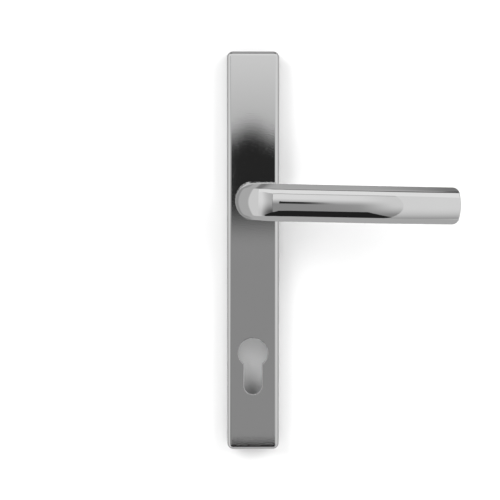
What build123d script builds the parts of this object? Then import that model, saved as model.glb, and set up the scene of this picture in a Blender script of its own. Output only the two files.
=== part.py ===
"""Sprung lever handle on a long narrow plate with a euro-profile cylinder cut-out.

Frame: origin where the spindle axis meets the door face, +X along the lever, +Z up,
-Y out of the door towards the user. Millimetres. "Height" means distance off the
door face, along -Y, so a height of 0 is the door face and heights behind it are negative.
"""

import os
from math import atan2, cos, degrees, radians, sin, sqrt

from build123d import *

# ---------------------------------------------------------------- driving dimensions
# Long plate
PLATE_WIDTH = 31.1
PLATE_TOP = 89.0  # above the spindle axis
PLATE_BOTTOM = -151.2
PLATE_FRONT = 13.5  # height of the front face
PLATE_CORNER = 3.5
PLATE_EDGE = 2.5  # rounding of the front edge
FRONT_WALL = 2.2
SIDE_WALL = 2.0
GASKET_THICK = 1.0
RIB_Z = (61.0, 44.0, -34.0, -56.0, -78.5, -122.5)

# Euro-profile cut-out, sized round a 17 x 33 x 10 cylinder
CYLINDER_CENTRES = 92.0  # spindle axis down to the cylinder axis
CUTOUT_RADIUS = 8.9
CUTOUT_SLOT = 10.9
CUTOUT_HEIGHT = 34.4
CUTOUT_EDGE = 0.35  # rounding of its front edge

# Fixings
FIXING_CENTRES = 215.0
UPPER_FIXING_Z = 76.4
POST_RADIUS = 4.0
POST_ROOT_RADIUS = 3.5  # the end pressed into the plate's boss
POST_FLANGE_RADIUS = 6.2
POST_REACH = 9.0  # how far a post stands behind the door face
THREAD_BORE_RADIUS = 2.1  # M5 tapping size
THREAD_DEPTH = 14.0

# Lever
NECK_RADIUS = 10.75
SPIGOT_RADIUS = 8.0
GRIP_HALF_HEIGHT = 10.7
GRIP_THICK = 11.5
GRIP_FRONT = 57.0  # height of the crown of the grip
CROWN_DROP = 1.85  # how far the face falls from its crown to the chamfers
CHAMFER_DROP = 4.77  # and from the crown to the far side of the chamfers
BACK_EASE = 3.0  # rounding between the sides and the back
LEVER_REACH = 119.0  # spindle axis to the tip
BEND_RADIUS = 26.0  # outside of the bend
BEND_PIVOT_X = 22.0  # the bend's sections fan out about this line
BEND_PIVOT_HEIGHT = 31.0
STRAIGHT_END_X = 60.0  # the tip curves back to the door from here
RETURN_RADIUS = 237.0
REST_DROOP = 1.2  # degrees below level, where the slack at the spring's legs lets the lever hang
TRAVEL = 45.0  # degrees either side of level

# Drive and return mechanism, front to back
BUSH_FLANGE = 0.8
BUSH_OUTER_RADIUS = 9.25
BOSS_RADIUS = 11.8
SPINDLE_SIDE = 8.0
SOCKET_SIDE = 8.1
SPINDLE_BEHIND = 58.0
SOCKET_TOP = 42.0  # height of the socket's blind end
DRIVER_RADIUS = 10.0
LUG_RADIUS = 13.1
LUG_HALF_ANGLE = 14.0
BUFFER_GAP = 0.9  # degrees left between the lug and a buffer at the end of travel
BUFFER_ANGLE = 7.0  # thickness of a buffer, as an angle round the spindle
WIRE_RADIUS = 0.65
COIL_RADIUS = 9.4
ANCHOR_Z = 16.5
ANCHOR_RADIUS = 1.5
LEG_END = 18.2  # how far up the spring's legs reach
LEG_OVERLAP = 5.5  # degrees of coil past each leg
COVER_SCREW_Z = (27.0, -19.5)

# ---------------------------------------------------------------- heights, front to back
WALL_BACK = PLATE_FRONT - FRONT_WALL
SHOULDER = PLATE_FRONT + BUSH_FLANGE + 0.05
BOSS_END = 9.9
SHIM = (9.4, 9.85)
DRIVER = (7.8, 9.35)
COIL_FRONT = 7.1  # wire centre
COIL_BACK = 4.3
COVER = (2.6, 3.6)
REAR_FLANGE = (2.1, COVER[0])
WAVE_WASHER = (1.65, 2.05)
RING = (0.6, 1.6)
SPIGOT_END = 0.1
FLAT = 6.6  # half the distance across the spigot's two flats


def slab(sketch, low, high):
    """The solid of a front-view sketch between two heights off the door face."""
    return extrude(Plane.XZ.offset(low) * sketch, amount=high - low)


def at(x, z):
    """Places a sketch at a point of the front view."""
    return Pos(x, z)


def ring_sector(inner, outer, middle, half_angle):
    """A front-view sketch of a piece of a ring round the spindle axis, angles in degrees."""
    reach = 3 * outer
    steps = [middle + half_angle * k / 2 for k in (-2, -1, 0, 1, 2)]
    fan = [(0, 0)] + [(reach * cos(radians(a)), reach * sin(radians(a))) for a in steps]
    return (Circle(outer) - Circle(inner)) & make_face(Polyline(*fan, close=True))


# ---------------------------------------------------------------- plate
def plate_outline(inset=0.0):
    """The plate's outline in the front view, drawn in by an inset."""
    height = PLATE_TOP - PLATE_BOTTOM
    middle = (PLATE_TOP + PLATE_BOTTOM) / 2
    corner = max(PLATE_CORNER - inset, 0.8)
    return at(0, middle) * RectangleRounded(PLATE_WIDTH - 2 * inset, height - 2 * inset, corner)


def euro_profile():
    """The round-over-slot outline of a euro cylinder, centred on the cylinder axis."""
    half_slot = CUTOUT_SLOT / 2
    slot_end = CUTOUT_RADIUS - CUTOUT_HEIGHT + half_slot
    slot = at(0, slot_end / 2) * Rectangle(CUTOUT_SLOT, -slot_end)
    return Circle(CUTOUT_RADIUS) + slot + at(0, slot_end) * Circle(half_slot)


def fixing_heights():
    """The front-view heights Z of the two fixing posts, by name."""
    return {"upper": UPPER_FIXING_Z, "lower": UPPER_FIXING_Z - FIXING_CENTRES}


def stop_angle():
    """Degrees from straight down to the face of each buffer."""
    return TRAVEL + LUG_HALF_ANGLE + BUFFER_GAP


def backplate():
    """Die-cast cover plate: flat face with rounded edges, side walls, bosses, ribs and stops."""
    body = slab(plate_outline(), GASKET_THICK, PLATE_FRONT)
    body = fillet(body.faces().sort_by(Axis.Y)[0].edges(), PLATE_EDGE)
    body -= slab(plate_outline(SIDE_WALL), 0, WALL_BACK)

    # Bosses stand on the back of the front wall.
    body += slab(Circle(BOSS_RADIUS), BOSS_END, WALL_BACK)
    body += slab(at(0, ANCHOR_Z) * Circle(2.8), BOSS_END, WALL_BACK)
    for z in COVER_SCREW_Z:
        body += slab(at(0, z) * Circle(3.2), COVER[1], WALL_BACK)
    for z in fixing_heights().values():
        body += slab(at(0, z) * Circle(6.6), 4.0, WALL_BACK)

    # Cross ribs stiffen the long hollow.
    inner_width = PLATE_WIDTH - 2 * SIDE_WALL
    for z in RIB_Z:
        body += slab(at(0, z) * Rectangle(inner_width, 1.4), 5.0, WALL_BACK)

    # Two cast stops back up the buffers that catch the driver's lug.
    for side in (-1, 1):
        middle = -90 + side * (stop_angle() + BUFFER_ANGLE + 7)
        stop = ring_sector(10.7, 14.5, middle, 7)
        body += slab(stop & Rectangle(inner_width, 60), DRIVER[0] - 0.5, WALL_BACK)

    # Openings through the face, then the blind holes from the back.
    cutout = slab(at(0, -CYLINDER_CENTRES) * euro_profile(), 0, PLATE_FRONT + 1)
    body -= cutout
    rim = body.edges().filter_by_position(Axis.Y, -PLATE_FRONT - 0.01, -PLATE_FRONT + 0.01)
    rim = rim.filter_by_position(Axis.X, -CUTOUT_RADIUS - 0.1, CUTOUT_RADIUS + 0.1)
    body = fillet(rim.filter_by_position(Axis.Z, -120, -80), CUTOUT_EDGE)
    body -= slab(Circle(BUSH_OUTER_RADIUS), 0, PLATE_FRONT + 1)
    body -= slab(at(0, ANCHOR_Z) * Circle(ANCHOR_RADIUS), 0, WALL_BACK)
    for z in COVER_SCREW_Z:
        body -= slab(at(0, z) * Circle(1.25), 0, 9.5)
    for z in fixing_heights().values():
        body -= slab(at(0, z) * Circle(POST_ROOT_RADIUS), 0, 9.5)
    return body


def rim_gasket():
    """Rubber frame between the plate's rim and the door."""
    return slab(plate_outline(0.3) - plate_outline(3.4), 0, GASKET_THICK)


def fixing_post(z):
    """Flanged post, pressed into its boss and tapped M5 from the back."""
    post = slab(Circle(POST_RADIUS), -POST_REACH, 3.0)
    post = chamfer(post.edges().sort_by(Axis.Y)[-1], 0.6)
    post += slab(Circle(POST_FLANGE_RADIUS), 2.4, 4.0)
    post += slab(Circle(POST_ROOT_RADIUS), 4.0, 9.4)
    post -= slab(Circle(THREAD_BORE_RADIUS), -POST_REACH, -POST_REACH + THREAD_DEPTH)
    return Pos(0, 0, z) * post


# ---------------------------------------------------------------- bearing and spring box
def neck_bush():
    """Flanged plastic bearing between the spigot and the plate."""
    flange = slab(Circle(NECK_RADIUS - 0.25), PLATE_FRONT, PLATE_FRONT + BUSH_FLANGE)
    sleeve = slab(Circle(BUSH_OUTER_RADIUS), BOSS_END, PLATE_FRONT)
    return flange + sleeve - slab(Circle(SPIGOT_RADIUS + 0.05), 0, PLATE_FRONT + 2)


def thrust_shim():
    """Thin steel ring between the boss and the driver."""
    return slab(Circle(10.4) - Circle(SPIGOT_RADIUS + 0.1), *SHIM)


def stop_buffer(side):
    """Plastic block in front of a cast stop; side is -1 or 1 along X."""
    block = ring_sector(10.8, 13.3, -90 + side * (stop_angle() + BUFFER_ANGLE / 2), BUFFER_ANGLE / 2)
    return slab(block, DRIVER[0] - 0.3, BOSS_END)


def spring_anchor():
    """Steel pin that holds whichever spring leg the driver isn't pushing."""
    return slab(at(0, ANCHOR_Z) * Circle(ANCHOR_RADIUS), COVER[0], WALL_BACK)


def return_spring():
    """Torsion spring round the spigot, its two legs either side of the anchor pin.

    The legs cross over, so pushing either one with the other held winds the coil tighter.
    """
    leg_x = ANCHOR_RADIUS + WIRE_RADIUS + 0.05
    leg_start = sqrt(COIL_RADIUS**2 - leg_x**2)
    start = degrees(atan2(leg_start, -leg_x)) + LEG_OVERLAP
    turns = 2 + (2 * start - 180) / 360
    rise = COIL_FRONT - COIL_BACK
    helix = Helix(pitch=rise / turns, height=rise, radius=COIL_RADIUS, lefthand=True)
    coil = sweep(Plane(helix @ 0, z_dir=helix % 0) * Circle(WIRE_RADIUS), helix, is_frenet=True)
    spring = Plane.XZ.offset(COIL_BACK) * Rot(0, 0, start) * coil
    length = LEG_END - leg_start
    for height, x in ((COIL_BACK, -leg_x), (COIL_FRONT, leg_x)):
        spring += Pos(x, -height, leg_start + length / 2) * Cylinder(WIRE_RADIUS - 0.03, length)
    return spring


def spring_cover():
    """Pressed steel lid over the spring box."""
    middle = sum(COVER_SCREW_Z) / 2
    lid = at(0, middle) * RectangleRounded(25.6, COVER_SCREW_Z[0] - COVER_SCREW_Z[1] + 10.0, 3.0)
    lid -= Circle(BUSH_OUTER_RADIUS)
    lid -= at(0, ANCHOR_Z) * Circle(ANCHOR_RADIUS)
    for z in COVER_SCREW_Z:
        lid -= at(0, z) * Circle(1.6)
    return slab(lid, *COVER)


def rear_bush():
    """Plastic bearing snapped into the spring cover."""
    flange = slab(Circle(BUSH_OUTER_RADIUS + 1.1), *REAR_FLANGE)
    sleeve = slab(Circle(BUSH_OUTER_RADIUS), COVER[0], COVER[1])
    return flange + sleeve - slab(Circle(SPIGOT_RADIUS + 0.05), 0, 5)


def cover_screw(z):
    """Pan-head tapping screw with a cross recess."""
    screw = slab(Circle(1.25), COVER[0] - 0.2, 9.0) + slab(Circle(2.9), 1.1, COVER[0])
    screw = fillet(screw.edges().sort_by(Axis.Y)[-1], 0.5)
    cross = Rectangle(3.0, 0.7) + Rectangle(0.7, 3.0)
    return Pos(0, 0, z) * (screw - slab(cross, 1.0, 2.0))


# ---------------------------------------------------------------- pieces that turn with the lever
def bar_corners(radius_in, radius_out, half_height, roundness):
    """Corner and mid-edge points (radius, z) of the lever's section, blended from bar to circle.

    The bar has a crowned face, two long chamfers, flat sides and an eased back, and they keep
    their depth wherever the section is thicker.
    """
    thick = radius_out - radius_in
    centre = (radius_in + radius_out) / 2
    chamfer_end = radius_out - CHAMFER_DROP
    ease_start = radius_in + BACK_EASE
    upper = [  # radius, share of the half height, disc angle
        (radius_out - CROWN_DROP, 0.741, 45.0),
        (radius_out - (CROWN_DROP + CHAMFER_DROP) / 2 + 0.05, 0.878, 62.0),
        (chamfer_end, 1.000, 80.0),
        ((chamfer_end + ease_start) / 2, 1.004, 97.0),
        (ease_start, 1.000, 115.0),
        (radius_in + 0.38 * BACK_EASE, 0.890, 130.0),
        (radius_in, 0.690, 145.0),
    ]
    lower = [(r, -z, -angle) for r, z, angle in reversed(upper)]
    ring = [(radius_out, 0.0, 0.0), *upper, (radius_in - 0.02, 0.0, 180.0), *lower]
    points = []
    for bar_r, share, angle in ring:
        bar_z = share * half_height
        disc_r = centre + thick / 2 * cos(radians(angle))
        disc_z = half_height * sin(radians(angle))
        points.append((
            bar_r + roundness * (disc_r - bar_r),
            bar_z + roundness * (disc_z - bar_z),
        ))
    return points


def bend_section(angle):
    """The lever's section on the plane through the bend's pivot line, 0 at the neck, 90 at the grip."""
    c, s = cos(radians(angle)), sin(radians(angle))
    side = BEND_PIVOT_X + NECK_RADIUS  # pivot to the neck's outer side
    front = GRIP_FRONT - BEND_PIVOT_HEIGHT
    arc_x = NECK_RADIUS - BEND_RADIUS + BEND_PIVOT_X  # pivot to the arc's centre
    arc_h = GRIP_FRONT - BEND_RADIUS - BEND_PIVOT_HEIGHT
    if side * s <= arc_h * c:
        outer = side / c
    elif front * c <= arc_x * s:
        outer = front / s
    else:
        along = arc_x * c + arc_h * s
        outer = along + sqrt(along**2 - arc_x**2 - arc_h**2 + BEND_RADIUS**2)
    inner_neck = BEND_PIVOT_X - NECK_RADIUS
    inner = inner_neck + (front - GRIP_THICK - inner_neck) * s * s
    half_height = NECK_RADIUS + (GRIP_HALF_HEIGHT - NECK_RADIUS) * s
    roundness = (1 - s) ** 3
    points = [
        Vector(BEND_PIVOT_X - r * c, -(BEND_PIVOT_HEIGHT + r * s), z)
        for r, z in bar_corners(inner, outer, half_height, roundness)
    ]
    # Points alternate mid-edge, corner, mid-edge: each edge is an arc from corner to corner.
    count = len(points)
    edges = [
        ThreePointArc(points[k - 1], points[k], points[(k + 1) % count])
        for k in range(0, count, 2)
    ]
    return Face(Wire([e.edge() for e in edges]))


def lever_outline():
    """The lever in the front view: round at the neck, slightly bowed end, eased corners."""
    top = GRIP_HALF_HEIGHT
    end = LEVER_REACH - 1.2
    back = -NECK_RADIUS - 1
    bow = ThreePointArc((end, -top), (LEVER_REACH, 0), (end, top))
    sides = Polyline((end, top), (back, top + 1), (back, -top - 1), (end, -top))
    face = make_face(Wire([*sides.edges(), bow.edge()]))
    corners = face.vertices().sort_by(Axis.X)[-2:]
    return fillet(corners, 3.9)


def lever():
    """Cast lever: spigot, round neck, bend, crowned grip and a tip that eases back to the door."""
    neck = slab(Circle(NECK_RADIUS), SHOULDER, BEND_PIVOT_HEIGHT)
    neck = chamfer(neck.edges().sort_by(Axis.Y)[-1], 0.3)
    bend = loft([bend_section(a) for a in (0, 6, 13, 22, 33, 46, 60, 76, 83, 90)])
    grip_face = bend_section(90)
    grip = extrude(grip_face, amount=STRAIGHT_END_X - BEND_PIVOT_X, dir=(1, 0, 0))
    end_face = Pos(STRAIGHT_END_X - BEND_PIVOT_X, 0, 0) * grip_face
    turn_axis = Axis((STRAIGHT_END_X, RETURN_RADIUS - GRIP_FRONT, 0), (0, 0, 1))
    tip = revolve(end_face, turn_axis, 16.0)
    if tip.bounding_box().min.Y < -GRIP_FRONT - 1:
        tip = revolve(end_face, turn_axis, -16.0)
    body = neck + bend + grip + tip
    body &= slab(lever_outline(), SHOULDER, GRIP_FRONT + 5)

    # Rear spigot: two flats for the driver, a groove for the ring, a square socket up the middle.
    flats = Circle(SPIGOT_RADIUS) & Rectangle(3 * SPIGOT_RADIUS, 2 * FLAT)
    spigot = slab(Circle(SPIGOT_RADIUS), DRIVER[1] + 0.02, SHOULDER) + slab(flats, SPIGOT_END, DRIVER[1] + 0.02)
    spigot -= slab(Circle(SPIGOT_RADIUS + 1) - Circle(7.6), RING[0] - 0.05, RING[1] + 0.02)
    body += spigot
    body -= slab(Rectangle(SOCKET_SIDE, SOCKET_SIDE), 0, SOCKET_TOP)
    body -= grub_hole(2.5, -NECK_RADIUS - 1, 0)
    return body.rotate(Axis.Y, REST_DROOP)


def grub_hole(radius, low, high):
    """An upright cylinder under the spindle axis, in the neck, between two values of z."""
    return Pos(0, -24.0, (low + high) / 2) * Cylinder(radius, high - low)


def spindle():
    """Square bar that turns the lock, held in the lever's socket."""
    bar = slab(Rectangle(SPINDLE_SIDE, SPINDLE_SIDE), -SPINDLE_BEHIND, SOCKET_TOP - 0.5)
    ends = bar.faces().sort_by(Axis.Y)[0].edges() + bar.faces().sort_by(Axis.Y)[-1].edges()
    return chamfer(ends, 0.5).rotate(Axis.Y, REST_DROOP)


def spindle_grub_screw():
    """Socket set screw that clamps the spindle from under the neck."""
    screw = grub_hole(2.45, -NECK_RADIUS + 0.7, -SPINDLE_SIDE / 2)
    key = Plane.XY.offset(-NECK_RADIUS + 0.7) * RegularPolygon(1.44, 6)
    screw -= Pos(0, -24.0, 0) * extrude(key, amount=2.6)
    return screw.rotate(Axis.Y, REST_DROOP)


def spring_driver():
    """Keyed disc: its bent tab pushes a spring leg, its lug meets the plate's stops."""
    disc = Circle(DRIVER_RADIUS)
    disc += ring_sector(8.5, LUG_RADIUS, -90, LUG_HALF_ANGLE)
    disc += at(0, 11.0) * Rectangle(2.4, 4.0)
    disc -= Circle(SPIGOT_RADIUS + 0.05) & Rectangle(3 * SPIGOT_RADIUS, 2 * FLAT + 0.1)
    tab = slab(at(0, 11.75) * Rectangle(2.4, 2.5), COVER[1] + 0.2, DRIVER[1])
    return (slab(disc, *DRIVER) + tab).rotate(Axis.Y, REST_DROOP)


def wave_washer():
    """Thin spring washer that takes up end play, shown flat."""
    return slab(Circle(9.8) - Circle(SPIGOT_RADIUS + 0.15), *WAVE_WASHER).rotate(Axis.Y, REST_DROOP)


def retaining_ring():
    """External snap ring in the spigot's groove, with two plier eyes."""
    ring = Circle(9.4) - Circle(7.65)
    ring -= ring_sector(7.0, 10.5, -90, 9)
    for angle in (-107, -73):
        eye = at(9.5 * cos(radians(angle)), 9.5 * sin(radians(angle)))
        ring = ring + eye * Circle(1.5) - eye * Circle(0.7)
    return slab(ring, *RING).rotate(Axis.Y, REST_DROOP)


# ---------------------------------------------------------------- write one STEP per piece
pieces = {
    "backplate": backplate(),
    "rim_gasket": rim_gasket(),
    "neck_bush": neck_bush(),
    "thrust_shim": thrust_shim(),
    "spring_anchor": spring_anchor(),
    "return_spring": return_spring(),
    "spring_cover": spring_cover(),
    "rear_bush": rear_bush(),
    "stop_buffer_left": stop_buffer(-1),
    "stop_buffer_right": stop_buffer(1),
    "lever": lever(),
    "spindle": spindle(),
    "spindle_grub_screw": spindle_grub_screw(),
    "spring_driver": spring_driver(),
    "wave_washer": wave_washer(),
    "retaining_ring": retaining_ring(),
}
for name, z in fixing_heights().items():
    pieces[f"fixing_post_{name}"] = fixing_post(z)
for name, z in zip(("upper", "lower"), COVER_SCREW_Z):
    pieces[f"cover_screw_{name}"] = cover_screw(z)

os.makedirs("parts", exist_ok=True)
for name, shape in pieces.items():
    export_step(shape, f"parts/{name}.step")
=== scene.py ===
# %% [markdown]
# # A sprung lever handle on a long narrow backplate
#
# The handle is two bodies: a plate that is bolted to the door, and a lever that turns in it. Most of what makes it
# look real is chrome, and chrome is only what it mirrors. So this lesson spends its effort on two things: a lever
# whose curves are smooth and true, and a studio with something worth mirroring. Everything is in metres, in the
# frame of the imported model: X runs along the lever, Z is up, and the front faces -Y.

from math import asin, atan, cos, pi, radians, sin, sqrt

import bmesh
import bpy
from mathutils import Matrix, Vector


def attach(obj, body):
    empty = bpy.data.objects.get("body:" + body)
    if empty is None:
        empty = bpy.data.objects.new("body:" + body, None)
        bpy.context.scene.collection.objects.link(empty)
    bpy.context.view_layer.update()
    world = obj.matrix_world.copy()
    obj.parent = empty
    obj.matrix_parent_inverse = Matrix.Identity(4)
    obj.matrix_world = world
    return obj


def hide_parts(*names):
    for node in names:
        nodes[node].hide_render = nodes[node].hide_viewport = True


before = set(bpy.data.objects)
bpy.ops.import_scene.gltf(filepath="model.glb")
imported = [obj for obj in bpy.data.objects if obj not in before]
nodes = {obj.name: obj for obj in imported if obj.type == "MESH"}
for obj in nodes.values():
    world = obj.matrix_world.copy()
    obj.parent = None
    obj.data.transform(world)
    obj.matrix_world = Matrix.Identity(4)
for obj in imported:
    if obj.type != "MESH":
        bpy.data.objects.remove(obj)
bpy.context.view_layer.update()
MM = 0.001

# %% [markdown]
# ## Writing materials as sums
#
# A node material is a sum drawn as boxes and lines. Written as Python it is far easier to read, so one small class
# wraps a socket and lets + - and * make the Math nodes. Every other node comes from one method of the tree.


# %% Values and trees
def plug(tree, slot, item):
    """Links a value to an input, or sets a plain number or colour on it."""
    if isinstance(item, Value):
        tree.links.new(item.socket, slot)
    elif slot.type == "RGBA" and len(item) == 3:
        slot.default_value = (*item, 1.0)
    else:
        slot.default_value = item


class Value:
    """The output of one node. Sums, differences and products with it add Math nodes."""

    def __init__(self, tree, socket):
        self.tree, self.socket = tree, socket

    def math(self, operation, first, second):
        node = self.tree.nodes.new("ShaderNodeMath")
        node.operation = operation
        plug(self.tree, node.inputs[0], first)
        plug(self.tree, node.inputs[1], second)
        return Value(self.tree, node.outputs[0])

    def __add__(self, other):
        return self.math("ADD", self, other)

    def __sub__(self, other):
        return self.math("SUBTRACT", self, other)

    def __rsub__(self, other):
        return self.math("SUBTRACT", other, self)

    def __mul__(self, other):
        return self.math("MULTIPLY", self, other)

    def __truediv__(self, other):
        return self.math("DIVIDE", self, other)

    def __gt__(self, other):
        return self.math("GREATER_THAN", self, other)

    def __lt__(self, other):
        return self.math("LESS_THAN", self, other)

    __radd__ = __add__
    __rmul__ = __mul__


def add(tree, kind, settings=None, inputs=None, output=0):
    """Adds one node: its settings first, then its inputs, and gives back one output."""
    node = tree.nodes.new("ShaderNode" + kind)
    for name, setting in (settings or {}).items():
        if name == "stops":
            ramp = node.color_ramp
            while len(ramp.elements) < len(setting):
                ramp.elements.new(0.5)
            for element, (place, grey) in zip(ramp.elements, sorted(setting)):
                element.position, element.color = place, (grey, grey, grey, 1.0)
        else:
            setattr(node, name, setting)
    for name, item in (inputs or {}).items():
        plug(tree, node.inputs[name], item)
    return Value(tree, node.outputs[output])


# %% Helpers that the materials share
def blank(name):
    """A new material with only an output."""
    material = bpy.data.materials.new(name)
    material.use_nodes = True
    material.node_tree.nodes.clear()
    return material, material.node_tree


def place(tree):
    """The position on the part, in metres, and its three coordinates."""
    here = add(tree, "TexCoord", output="Object")
    return here, [add(tree, "SeparateXYZ", inputs={"Vector": here}, output=axis) for axis in "XYZ"]


def noise(tree, here, size, detail=2.0, stretch=(1, 1, 1)):
    """Soft noise from 0 to 1 whose features are about this many metres across."""
    where = add(tree, "Mapping", inputs={"Vector": here, "Scale": [s / size for s in stretch]})
    return add(tree, "TexNoise", inputs={"Vector": where, "Scale": 1.0, "Detail": detail})


def mix(tree, amount, first, second):
    """A colour between two colours."""
    node = tree.nodes.new("ShaderNodeMix")
    node.data_type = "RGBA"
    for slot, item in zip((node.inputs[0], node.inputs[6], node.inputs[7]), (amount, first, second)):
        plug(tree, slot, item)
    return Value(tree, node.outputs[2])


def surface(tree, bump=None, **sockets):
    """Ends a material in one Principled shader. bump is a height from 0 to 1 and its depth in metres."""
    names = {key: key.replace("_", " ") for key in sockets}
    inputs = {names[key]: item for key, item in sockets.items()}
    if bump:
        height, depth = bump
        inputs["Normal"] = add(tree, "Bump", inputs={"Height": height, "Strength": 1.0, "Distance": depth})
    shader = add(tree, "BsdfPrincipled", inputs=inputs)
    end = tree.nodes.new("ShaderNodeOutputMaterial")
    tree.links.new(shader.socket, end.inputs["Surface"])


print("helpers ready")

# %% [markdown]
# ## Chrome
#
# Both visible pieces are cast zinc, polished and plated. Plating is a mirror, but not a perfect one: the polishing
# wheel leaves broad shallow waves, the plate's flat face keeps a finer orange peel than the lever, and handling
# leaves a faint haze. Those three are noise in the roughness and a bump a few millionths of a metre deep. The plate
# is open at the back, where nobody polishes: there the bare casting shows, so one mask swaps the finish.


# %% Chrome for the lever and the plate
def chrome(name, grey, rough, peel, hidden=None):
    material, tree = blank(name)
    here, (x, y, z) = place(tree)
    haze = noise(tree, here, 0.022, 3.0)
    grain = noise(tree, here, 0.0005, 0.0)
    wave = noise(tree, here, 0.016, 1.0)
    tone = mix(tree, haze, (grey * 0.985,) * 3, (grey * 1.01,) * 3)
    gloss = rough + haze * 0.012
    height = grain * peel + wave * 0.5
    if hidden:
        inside = hidden(x, y, z)
        cast = noise(tree, here, 0.0016, 4.0)
        flow = noise(tree, here, 0.012, 3.0, (1, 1, 0.3))
        bare = mix(tree, flow, (0.33, 0.335, 0.34), (0.47, 0.475, 0.48))
        tone = mix(tree, inside, tone, bare)
        gloss = gloss + inside * (0.36 + cast * 0.2)
        height = height + inside * cast * 14.0
    surface(tree, (height, 2.5e-6), Base_Color=tone, Metallic=1.0, Roughness=gloss)
    return material


def behind_the_plate(x, y, z):
    """1 on the plate's inner walls and ribs, 0 on its plated outside."""
    return (y > -11.32 * MM) * (x > -13.57 * MM) * (x < 13.57 * MM)


lever_chrome = chrome("lever_chrome", 0.89, 0.018, 0.4)
plate_chrome = chrome("plate_chrome", 0.87, 0.022, 2.4, behind_the_plate)
print("chrome ready")

# %% [markdown]
# ## The working parts' finishes
#
# Behind the plate the finishes are the ones a hardware maker buys in: bright zinc plating on pressed and turned
# steel, oiled spring wire, natural nylon bushes and black rubber. Each gets its own scale of unevenness, because
# that, more than its colour, tells the eye what it is.


# %% Steel, spring wire, nylon and rubber
def zinc_plated():
    material, tree = blank("steel")
    here, _ = place(tree)
    cloud = noise(tree, here, 0.006, 4.0)
    turned = noise(tree, here, 0.0007, 2.0, (1, 0.15, 1))
    tone = mix(tree, cloud, (0.50, 0.505, 0.52), (0.64, 0.645, 0.65))
    surface(tree, (turned, 8e-6), Base_Color=tone, Metallic=1.0, Roughness=0.22 + cloud * 0.16)
    return material


def oiled_wire():
    material, tree = blank("spring_steel")
    here, _ = place(tree)
    film = noise(tree, here, 0.003, 3.0)
    drawn = noise(tree, here, 0.0004, 2.0)
    tone = mix(tree, film, (0.15, 0.15, 0.16), (0.27, 0.265, 0.26))
    surface(tree, (drawn, 4e-6), Base_Color=tone, Metallic=1.0, Roughness=0.2 + film * 0.2,
            Coat_Weight=film * 0.5, Coat_Roughness=0.08)
    return material


def nylon():
    material, tree = blank("nylon")
    here, _ = place(tree)
    cloud = noise(tree, here, 0.005, 3.0)
    skin = noise(tree, here, 0.0005, 2.0)
    tone = mix(tree, cloud, (0.74, 0.735, 0.70), (0.82, 0.815, 0.79))
    surface(tree, (skin, 1.2e-5), Base_Color=tone, Roughness=0.38 + cloud * 0.14, Subsurface_Weight=0.08,
            Subsurface_Radius=(0.001, 0.001, 0.001))
    return material


def rubber():
    material, tree = blank("rubber")
    here, _ = place(tree)
    bloom = noise(tree, here, 0.004, 4.0)
    skin = noise(tree, here, 0.0004, 2.0)
    tone = mix(tree, bloom, (0.022, 0.022, 0.023), (0.05, 0.05, 0.05))
    surface(tree, (skin, 2e-5), Base_Color=tone, Roughness=0.62 + bloom * 0.2)
    return material


# %% Give every carried-over node its finish
steel, spring_steel, nylon_finish, rubber_finish = zinc_plated(), oiled_wire(), nylon(), rubber()
finish_of = {
    "backplate": plate_chrome,
    "rim_gasket": rubber_finish, "stop_buffer_left": rubber_finish, "stop_buffer_right": rubber_finish,
    "neck_bush": nylon_finish, "thrust_shim": nylon_finish, "rear_bush": nylon_finish,
    "return_spring": spring_steel, "wave_washer": spring_steel, "retaining_ring": spring_steel,
    "lever": lever_chrome,
}
for name, node in nodes.items():
    finish = finish_of.get(name, steel)
    node.data.materials.clear()
    node.data.materials.append(finish)
print({name: node.data.materials[0].name for name, node in nodes.items()})

# %% [markdown]
# ## The lever
#
# A mirror shows every flat facet, so the lever is not carved with cutters but drawn line by line as one fine grid.
# Its section is the same all along the grip: a crowned face, two long chamfers, flat sides and an eased back. Each
# edge has a small true rounding, because a sharp edge never catches the light. At the bend that section swings
# round a line beside the neck, with a flatter crown on the way, and melts into a circle.

# %% The lever's sizes, in millimetres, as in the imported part
NECK_R, SHOULDER = 10.75, 14.35
HALF, THICK, FRONT = 10.7, 11.5, 57.0
CREASE_Z, CROWN_DROP, CHAMFER_DROP = 8.0, 1.85, 4.77
CROWN_R = (CREASE_Z**2 + CROWN_DROP**2) / (2 * CROWN_DROP)
CREASE_SOFT = 0.32
EDGE_R, TIP_EDGE_R, BACK_R = 0.5, 0.9, 3.0
PIVOT_X, PIVOT_H, BEND_R = 22.0, 31.0, 26.0
STRAIGHT_END, RETURN_R = 60.0, 237.0
REACH, BOW, CORNER_R = 119.0, 1.2, 3.9
REST_DROOP = 1.2
BEND_FLATTER, MID_BEND = 0.45, 44  # share of the crown taken off half-way round the bend, at this angle
BOW_R = (HALF**2 + BOW**2) / (2 * BOW)
BOW_X = REACH - BOW_R
CORNER_Z = HALF - CORNER_R
CORNER_X = BOW_X + sqrt((BOW_R - CORNER_R) ** 2 - CORNER_Z**2)
print("crown radius", round(CROWN_R, 2), "corner centre", round(CORNER_X, 2))


# %% Heights of the face and the back
def face_drop(z):
    """How far the face lies below its crown at this z: the deeper of crown and chamfer, softly joined."""
    crown = CROWN_R - sqrt(CROWN_R**2 - z * z)
    slope = (CHAMFER_DROP - CROWN_DROP) / (HALF - CREASE_Z)
    chamfer = CROWN_DROP + slope * (abs(z) - CREASE_Z)
    return (crown + chamfer + sqrt((crown - chamfer) ** 2 + CREASE_SOFT**2)) / 2


def height_at(x, drop):
    """Height above the door of a surface this far below the crown: level, then curving back to the door."""
    if x <= STRAIGHT_END:
        return FRONT - drop
    return FRONT - RETURN_R + sqrt((RETURN_R - drop) ** 2 - (x - STRAIGHT_END) ** 2)


def spread(low, high, count):
    return [low + (high - low) * k / count for k in range(count + 1)]


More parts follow.
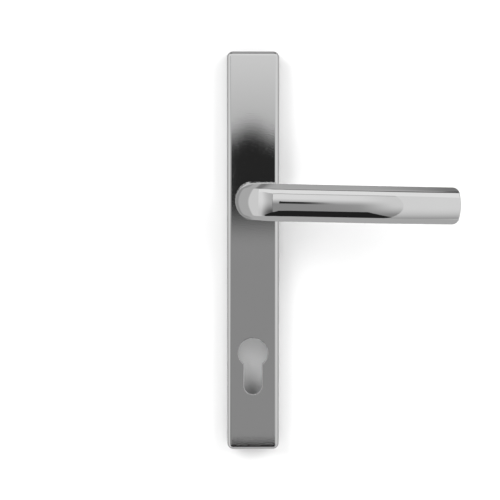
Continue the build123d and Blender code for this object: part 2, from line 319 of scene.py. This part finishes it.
# %% The section as a ring of points
CHAMFER_TILT = atan((CHAMFER_DROP - CROWN_DROP) / (HALF - CREASE_Z))
LINE_END = HALF - EDGE_R * (1 - sin(CHAMFER_TILT))
half_lines = [*spread(0, 7.3, 26), *spread(7.3, 8.7, 14)[1:], *spread(8.7, LINE_END, 8)[1:]]
LINES = [-z for z in reversed(half_lines[1:])] + half_lines
EDGE_ROWS, WALL_ROWS, BACK_ROWS = 7, 5, 8


def side_chain(line_drop, tilt, edge_r, back_drop):
    """From the end of a face line over the edge, down the side and round to the back: (inset, drop) pairs."""
    chain = []
    for a in spread(tilt, pi / 2, EDGE_ROWS)[1:]:
        chain.append((edge_r * (1 - sin(a)), line_drop + edge_r * (cos(tilt) - cos(a))))
    top = chain[-1][1]
    chain += [(0.0, d) for d in spread(top, back_drop - BACK_R, WALL_ROWS)[1:]]
    for a in spread(pi / 2, pi, BACK_ROWS)[1:-1]:
        chain.append((BACK_R * (1 - sin(a)), back_drop - BACK_R - BACK_R * cos(a)))
    return chain


def ring_points():
    """The section as (drop, z, disc angle in degrees), once round from the lower end of the face."""
    face = []
    for z in LINES:
        within = min(abs(z), CREASE_Z) / CREASE_Z * 45
        beyond = max(abs(z) - CREASE_Z, 0) / (HALF - CREASE_Z) * 35
        face.append((face_drop(z), z, (within + beyond) * (1 if z >= 0 else -1)))
    chain = side_chain(face_drop(LINE_END), CHAMFER_TILT, EDGE_R, THICK)
    first, last = face[-1][2], 145.0
    upper = []
    for k, (inset, drop) in enumerate(chain):
        part = (k + 1) / (len(chain) + 1)
        upper.append((drop, HALF - inset, first + (last - first) * part))
    back = []
    for z in LINES:
        share = z / LINE_END
        angle = 180 - 35 * share
        back.append((THICK, share * (HALF - BACK_R), angle))
    back.reverse()
    lower = [(drop, -z, 360 - angle) for drop, z, angle in reversed(upper)]
    return face + upper + back + lower


RING = ring_points()
print("points round the section", len(RING))


# %% The bend and the neck
def carried(drop, thick):
    """A drop of the grip's section carried into a thicker one, where only the side walls grow."""
    start, end = 5.0, THICK - BACK_R
    if drop <= start:
        return drop
    if drop >= end:
        return drop + thick - THICK
    return start + (drop - start) * (thick - BACK_R - start) / (end - start)


def bend_ring(angle):
    """The section on the plane through the pivot line, 0 degrees at the neck, 90 at the grip."""
    c, s = cos(radians(angle)), sin(radians(angle))
    side, front = PIVOT_X + NECK_R, FRONT - PIVOT_H
    arc_x, arc_h = NECK_R - BEND_R + PIVOT_X, FRONT - BEND_R - PIVOT_H
    if front * c <= arc_x * s:
        outer = front / s
    else:
        along = arc_x * c + arc_h * s
        outer = along + sqrt(along**2 - arc_x**2 - arc_h**2 + BEND_R**2)
    inner = PIVOT_X - NECK_R + (front - THICK - PIVOT_X + NECK_R) * s * s
    tall = NECK_R + (HALF - NECK_R) * s
    round_share = (1 - s) ** 3
    thick, middle = outer - inner, (outer + inner) / 2
    flatter = BEND_FLATTER * max(0, cos(radians(4 * (angle - MID_BEND)))) ** 2
    points = []
    for drop, z, turn in RING:
        drop -= flatter * min(drop, CROWN_DROP * max(0, (CHAMFER_DROP - drop) / (CHAMFER_DROP - CROWN_DROP)))
        bar_r, bar_z = outer - carried(drop, thick), z * tall / HALF
        disc_r, disc_z = middle + thick / 2 * cos(radians(turn)), tall * sin(radians(turn))
        r = bar_r + round_share * (disc_r - bar_r)
        points.append((PIVOT_X - r * c, PIVOT_H + r * s, bar_z + round_share * (disc_z - bar_z)))
    return points


def disc_ring(height, radius, flat=None):
    """A level circle in the neck, with two flats if flat is given."""
    points = []
    for _, _, turn in RING:
        z = radius * sin(radians(turn))
        if flat:
            z = max(-flat, min(flat, z))
        points.append((-radius * cos(radians(turn)), height, z))
    return points


def square_ring(height, half_side):
    """A level square: the socket that the spindle sits in."""
    turns = [t % 360 for _, _, t in RING]
    corners = [min(range(len(turns)), key=lambda k: abs(turns[k] - c)) for c in (45, 135, 225, 315)]
    points = []
    for k, turn in enumerate(turns):
        c, s = cos(radians(turn)), sin(radians(turn))
        if k in corners:
            c, s = (1 if c > 0 else -1), (1 if s > 0 else -1)
        reach = half_side / max(abs(c), abs(s))
        points.append((-reach * c, height, reach * s))
    return points


# %% The spigot, neck, bend and grip as a stack of rings
SPIGOT_R, GROOVE_R, FLAT, SOCKET_HALF = 8.0, 7.6, 6.6, 4.05
rings = [square_ring(41.9, SOCKET_HALF), square_ring(20.0, SOCKET_HALF), square_ring(0.4, SOCKET_HALF)]
rings += [square_ring(0.1, SOCKET_HALF + 0.3), disc_ring(0.1, SPIGOT_R - 0.25, FLAT)]
rings += [disc_ring(0.3, SPIGOT_R, FLAT), disc_ring(0.55, SPIGOT_R, FLAT), disc_ring(0.55, GROOVE_R, FLAT)]
rings += [disc_ring(1.62, GROOVE_R, FLAT), disc_ring(1.62, SPIGOT_R, FLAT), disc_ring(9.37, SPIGOT_R, FLAT)]
rings += [disc_ring(9.37, SPIGOT_R), disc_ring(SHOULDER, SPIGOT_R)]
for a in spread(0, pi / 2, 4):
    rings.append(disc_ring(SHOULDER + 0.3 * (1 - cos(a)), NECK_R - 0.3 * (1 - sin(a))))
rings += [disc_ring(h, NECK_R) for h in spread(SHOULDER + 0.6, PIVOT_H, 10)[:-1]]
rings += [bend_ring(a) for a in spread(0, 90, 72)]
stations = spread(PIVOT_X, STRAIGHT_END, 22)[1:] + spread(STRAIGHT_END, CORNER_X, 40)[1:]
for x in stations:
    rings.append([(x, height_at(x, drop), z) for drop, z, _ in RING])
print("rings", len(rings), "last at x", round(stations[-1], 2))


# %% [markdown]
# ## The tip
#
# The end of the grip is a shallow bow with two round corners. Here each line of the face runs on to its own point
# of that outline, turns over the edge, drops down the end and comes back along the underside. So the edge rounding
# goes round the corners without a break.


# %% The tip's strip
def outline_point(share):
    """A point of the tip's outline and its outward direction, for a share from -1 (low) to 1 (high)."""
    bow_angle = asin(CORNER_Z / (BOW_R - CORNER_R))
    bow_length = BOW_R * bow_angle
    corner_length = CORNER_R * (pi / 2 - bow_angle)
    run = abs(share) * (bow_length + corner_length)
    if run < bow_length:
        psi = run / BOW_R
        x, z = BOW_X + BOW_R * cos(psi), BOW_R * sin(psi)
    else:
        psi = bow_angle + (run - bow_length) / CORNER_R
        x, z = CORNER_X + CORNER_R * cos(psi), CORNER_Z + CORNER_R * sin(psi)
    flip = 1 if share >= 0 else -1
    return (x, z * flip), (cos(psi), sin(psi) * flip)


def tip_column(k):
    """All the points of one face line from the last ring over the tip to the same line of the back."""
    share = LINES[k] / LINE_END
    (qx, qz), (nx, nz) = outline_point(share)
    edge_r = EDGE_R + (TIP_EDGE_R - EDGE_R) * nx * nx * (3 - 2 * nx)
    step = 0.4

    def face(inset):
        z = max(-HALF, min(HALF, qz - inset * nz))
        return height_at(qx - inset * nx, face_drop(z))

    tilt = atan((face(edge_r + step) - face(edge_r)) / step) if abs(nx) > 1e-3 else CHAMFER_TILT
    inset = edge_r * (1 - sin(tilt))
    start = (qx - inset * nx, qz - inset * nz)
    top = face(inset)
    bottom = height_at(qx - BACK_R * nx, THICK)
    column = []
    for part in spread(0, 1, TIP_ROWS)[1:]:
        x = CORNER_X + (start[0] - CORNER_X) * part
        z = LINES[k] + (start[1] - LINES[k]) * part
        column.append((x, height_at(x, face_drop(z)), z))
    depth = face_drop(start[1])

    def fall(drop):
        return height_at(CORNER_X, depth) - height_at(CORNER_X, depth + drop)

    squeeze = (top - bottom) / fall(THICK - depth)
    for off, drop in side_chain(0.0, tilt, edge_r, THICK - depth):
        column.append((qx - off * nx, top - fall(drop) * squeeze, qz - off * nz))
    back_z = share * (HALF - BACK_R)
    end = (qx - BACK_R * nx, qz - BACK_R * nz)
    for part in spread(1, 0, TIP_ROWS)[:-1]:
        x = CORNER_X + (end[0] - CORNER_X) * part
        z = back_z + (end[1] - back_z) * part
        column.append((x, height_at(x, THICK), z))
    return column


TIP_ROWS = 16
tip = [tip_column(k) for k in range(len(LINES))]
print("tip columns", len(tip), "points in each", len(tip[0]))


# %% Weave the rings and the tip into one closed mesh
def turned_to_rest(x, height, z):
    """A point of the level lever, in metres, hanging a little below level as it does at rest."""
    c, s = cos(radians(REST_DROOP)), sin(radians(REST_DROOP))
    return Vector(((x * c + z * s) * MM, -height * MM, (z * c - x * s) * MM))


def build_lever():
    mesh = bmesh.new()
    grid = [[mesh.verts.new(turned_to_rest(*p)) for p in ring] for ring in rings]
    count = len(RING)
    for near, far in zip(grid, grid[1:]):
        for k in range(count):
            mesh.faces.new((near[k], near[(k + 1) % count], far[(k + 1) % count], far[k]))
    mesh.faces.new(list(reversed(grid[0])))
    lines, last = len(LINES), grid[-1]
    chain = EDGE_ROWS + WALL_ROWS + BACK_ROWS - 1
    back_start = lines + chain
    columns = []
    for k, points in enumerate(tip):
        inner = [mesh.verts.new(turned_to_rest(*p)) for p in points]
        columns.append([last[k], *inner, last[back_start + lines - 1 - k]])
    for left, right in zip(columns, columns[1:]):
        for j in range(len(left) - 1):
            mesh.faces.new((left[j], right[j], right[j + 1], left[j + 1]))
    bmesh.ops.remove_doubles(mesh, verts=mesh.verts, dist=2e-6)
    bmesh.ops.recalc_face_normals(mesh, faces=mesh.faces)
    open_edges = [e for e in mesh.edges if not e.is_manifold]
    print("lever faces", len(mesh.faces), "open edges", len(open_edges))
    for e in open_edges[:6]:
        print("  open at", [tuple(round(c / MM, 2) for c in v.co) for v in e.verts])
    data = bpy.data.meshes.new("lever_bar")
    mesh.to_mesh(data)
    mesh.free()
    data.polygons.foreach_set("use_smooth", [True] * len(data.polygons))
    data.set_sharp_from_angle(angle=radians(40))
    piece = bpy.data.objects.new("lever_bar", data)
    bpy.context.scene.collection.objects.link(piece)
    piece.data.materials.append(lever_chrome)
    return piece


# %% Bore the grub screw's hole under the neck
def bore(piece, foot, top, radius):
    """Cuts a round hole from foot to top, both given on the level lever as (x, height, z)."""
    low, high = turned_to_rest(*foot), turned_to_rest(*top)
    data = bpy.data.meshes.new("cutter")
    mesh = bmesh.new()
    bmesh.ops.create_cone(mesh, cap_ends=True, segments=48, radius1=radius * MM, radius2=radius * MM,
                          depth=(high - low).length)
    mesh.to_mesh(data)
    mesh.free()
    cutter = bpy.data.objects.new("cutter", data)
    bpy.context.scene.collection.objects.link(cutter)
    cutter.location = (low + high) / 2
    cutter.rotation_euler = (high - low).to_track_quat("Z", "Y").to_euler()
    cut = piece.modifiers.new("hole", "BOOLEAN")
    cut.operation, cut.solver, cut.object = "DIFFERENCE", "EXACT", cutter
    graph = bpy.context.evaluated_depsgraph_get()
    bored = bpy.data.meshes.new_from_object(piece.evaluated_get(graph))
    piece.modifiers.clear()
    piece.data = bored
    bpy.data.objects.remove(cutter)
    bored.set_sharp_from_angle(angle=radians(40))
    print("faces after boring", len(bored.polygons))


lever_bar = build_lever()
bore(lever_bar, (0, 24, -13), (0, 24, -3.5), 2.5)
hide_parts("lever")
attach(lever_bar, "lever")

# %% [markdown]
# ## The studio
#
# Chrome needs a room. This one is a white tent with an opening at the front. The camera looks in through it, so the
# flat plate mirrors the dim room behind the camera: pale high up, grey low down, with the dark shape of the camera
# between. The crowned lever gathers in more: the white front of the tent above the opening and the black skirt
# below it. The cards that make this up are seen only in reflections.

# %% Where the camera and the tent stand, in millimetres
CAMERA = Vector((-12.9, -819.5, 20.7))
OPENING_Y = -487.0
OPENING = {"left": -146.0, "right": 237.0, "top": 262.0}
SKIRT_TOP = ((-330, -420), (-20, -245), (130, -245), (240, -520))
ROOM_Y = -835.0


def card(name, corners, shade):
    """A flat card that only reflections see. shade wires its brightness."""
    data = bpy.data.meshes.new(name)
    data.from_pydata([Vector(c) * MM for c in corners], [], [tuple(range(len(corners)))])
    piece = bpy.data.objects.new(name, data)
    bpy.context.scene.collection.objects.link(piece)
    material, tree = blank(name)
    here, axes = place(tree)
    glow = tree.nodes.new("ShaderNodeEmission")
    plug(tree, glow.inputs["Color"], shade(tree, *axes))
    end = tree.nodes.new("ShaderNodeOutputMaterial")
    tree.links.new(glow.outputs[0], end.inputs["Surface"])
    data.materials.append(material)
    piece.visible_camera = piece.visible_diffuse = piece.visible_shadow = False
    piece.visible_transmission = piece.visible_volume_scatter = False
    return piece


def plain(brightness):
    return lambda tree, x, y, z: (brightness,) * 3


def upright(x0, x1, z0, z1, y=OPENING_Y):
    return [(x0, y, z0), (x1, y, z0), (x1, y, z1), (x0, y, z1)]


# %% The front of the tent round the opening
def ramp(tree, value, start, full):
    """0 at start, 1 at full, both in millimetres, easing in and out."""
    return add(tree, "MapRange", {"interpolation_type": "SMOOTHSTEP"},
               {"Value": value, "From Min": start * MM, "From Max": full * MM})


def fade(tree, value, start, full, first, second):
    """From one plain brightness to another between two places."""
    return mix(tree, ramp(tree, value, start, full), (first,) * 3, (second,) * 3)


def left_cloth(tree, x, y, z):
    """White cloth that dims towards the opening, most of all low down."""
    near, low = ramp(tree, x, -560, -150), ramp(tree, z, 60, -330)
    return fade(tree, x, -500, -150, 0.75, 0.45) * (1 - low * (0.2 + near * 0.6))


left, right, top = OPENING["left"], OPENING["right"], OPENING["top"]
card("tent_top", upright(-700, 800, top + 34, 700), plain(0.8))
card("tent_top_seam", upright(left - 9, right, top, top + 34), plain(0.5))
card("tent_left_seam", upright(left - 9, left, -250, top), plain(0.2))
card("tent_left", upright(-700, left - 9, -700, top + 34), left_cloth)
card("tent_right", upright(right, 800, -900, top + 34),
     lambda tree, x, y, z: fade(tree, z, -700, -50, 0.35, 0.7))
skirt_top = [(x, OPENING_Y + 1, z) for x, z in SKIRT_TOP]
card("tent_skirt", [(-330, OPENING_Y + 1, -800), (240, OPENING_Y + 1, -800), *reversed(skirt_top)], plain(0.015))


# %% The room behind the camera
def room(tree, x, y, z):
    """Pale at the top, grey low down, lighter to the right, and the camera's soft dark shape in the middle."""
    light = fade(tree, z, -100, 250, 0.27, 0.75)
    light = mix(tree, ramp(tree, x, 60, 340), light, fade(tree, z, -700, 0, 0.25, 0.65))
    off_centre = (x - 11 * MM) * (x - 11 * MM) * 27
    arch = off_centre.math("MINIMUM", off_centre, 15 * MM)
    shape = (ramp(tree, x, -40, -14) * (1 - ramp(tree, x, 66, 112))
             * ramp(tree, z, -78, -20) * (1 - ramp(tree, z + arch, 50, 87)))
    return mix(tree, shape, light, (0.02,) * 3)


card("room", upright(-900, 900, -950, 640, ROOM_Y), room)

# %% [markdown]
# ## The rest of what the chrome sees
#
# Beyond the cards the world answers by direction. Straight up and straight down it is a soft grey, a darker seam
# runs round the tent high up, and behind the handle it is the dull white of the board it hangs on. The same world
# shows the camera a plain pale backdrop and gives diffuse surfaces an even light.


# %% The world
def build_world():
    world = bpy.data.worlds.new("studio")
    world.use_nodes = True
    tree = world.node_tree
    tree.nodes.clear()
    direction = add(tree, "TexCoord", output="Generated")
    x, y, z = [add(tree, "SeparateXYZ", inputs={"Vector": direction}, output=axis) for axis in "XYZ"]
    part = z * 0.5 + 0.5
    sky, seam, side = 0.42, 0.02, 0.65
    front = [(-1.0, sky), (-0.85, sky), (-0.8, side), (0.78, side), (0.83, seam), (0.91, seam),
             (0.92, sky), (1.0, sky)]
    rear = [(-1.0, sky), (0.78, sky), (0.84, 0.2), (0.92, 0.2), (1.0, sky)]
    front, rear = [
        add(tree, "ValToRGB", {"stops": [(h * 0.5 + 0.5, grey) for h, grey in marks]}, {"Fac": part})
        for marks in (front, rear)
    ]
    straight_back = add(tree, "MapRange", {"interpolation_type": "SMOOTHSTEP"},
                        {"Value": y, "From Min": 0.66, "From Max": 0.8})
    rear = mix(tree, straight_back, rear, (0.28,) * 3)
    behind = add(tree, "MapRange", inputs={"Value": y, "From Min": -0.03, "From Max": 0.06})
    mirrored = mix(tree, behind, front, rear)
    path = tree.nodes.new("ShaderNodeLightPath")
    diffuse = Value(tree, path.outputs["Is Diffuse Ray"])
    camera = Value(tree, path.outputs["Is Camera Ray"])
    shown = mix(tree, diffuse, mirrored, (0.50,) * 3)
    shown = mix(tree, camera, shown, (0.93,) * 3)
    air = add(tree, "Background", inputs={"Color": shown, "Strength": 1.0})
    end = tree.nodes.new("ShaderNodeOutputWorld")
    tree.links.new(air.socket, end.inputs["Surface"])
    bpy.context.scene.world = world


build_world()


# %% The board, the floor and the lamps
def matt(name, grey, one_sided=False):
    """Pale painted board. A one-sided board is clear from behind, so that the handle's back can be seen."""
    material, tree = blank(name)
    here, _ = place(tree)
    mottle = noise(tree, here, 0.05, 3.0)
    tone = mix(tree, mottle, (grey * 0.99,) * 3, (grey,) * 3)
    shader = add(tree, "BsdfDiffuse", inputs={"Color": tone})
    if one_sided:
        back = add(tree, "NewGeometry", output="Backfacing")
        clear = add(tree, "BsdfTransparent", inputs={"Color": (1, 1, 1)})
        node = tree.nodes.new("ShaderNodeMixShader")
        for slot, item in zip(node.inputs, (back, shader, clear)):
            plug(tree, slot, item)
        shader = Value(tree, node.outputs[0])
    end = tree.nodes.new("ShaderNodeOutputMaterial")
    tree.links.new(shader.socket, end.inputs["Surface"])
    return material


def stage_plane(name, corners, material):
    data = bpy.data.meshes.new(name)
    data.from_pydata([Vector(c) * MM for c in corners], [], [(0, 1, 2, 3)])
    piece = bpy.data.objects.new(name, data)
    bpy.context.scene.collection.objects.link(piece)
    data.materials.append(material)
    piece.visible_glossy = False
    return piece


def lamp(name, place_mm, aim_mm, size_mm, power):
    """A big soft lamp that lights matt surfaces and is not mirrored."""
    light = bpy.data.lights.new(name, "AREA")
    light.shape, light.size, light.energy = "SQUARE", size_mm * MM, power
    piece = bpy.data.objects.new(name, light)
    bpy.context.scene.collection.objects.link(piece)
    piece.location = Vector(place_mm) * MM
    piece.rotation_euler = (Vector(aim_mm) - Vector(place_mm)).to_track_quat("-Z", "Y").to_euler()
    piece.visible_glossy = piece.visible_camera = False
    return piece


FLOOR_Z = -400
board = stage_plane("board", [(-450, 0.3, FLOOR_Z), (450, 0.3, FLOOR_Z), (450, 0.3, 420), (-450, 0.3, 420)],
                    matt("board_paint", 0.88, one_sided=True))
floor = stage_plane("floor", [(-1600, -1400, FLOOR_Z), (1600, -1400, FLOOR_Z), (1600, 1400, FLOOR_Z),
                              (-1600, 1400, FLOOR_Z)], matt("floor_paint", 0.78))
lamp("lamp_left", (-620, -620, 400), (0, 0, -30), 620, 6.0)
lamp("lamp_right", (620, -560, 280), (0, 0, -30), 620, 4.7)
lamp("lamp_low", (0, -640, -360), (0, 0, -60), 500, 1.25)
lamp("lamp_back", (300, 800, 500), (0, 0, 0), 700, 24.0)
print("stage ready")

# %% The camera
camera_data = bpy.data.cameras.new("camera")
camera_data.sensor_width = 36.0
camera_data.lens = 96.66
camera_data.clip_start, camera_data.clip_end = 0.01, 20.0
camera = bpy.data.objects.new("camera", camera_data)
bpy.context.scene.collection.objects.link(camera)
camera.location = CAMERA * MM
aim = Vector((-1.88, -13.5, -29.77)) * MM
camera.rotation_euler = (aim - camera.location).to_track_quat("-Z", "Y").to_euler()
bpy.context.scene.camera = camera
bpy.context.scene.view_settings.view_transform = "Standard"
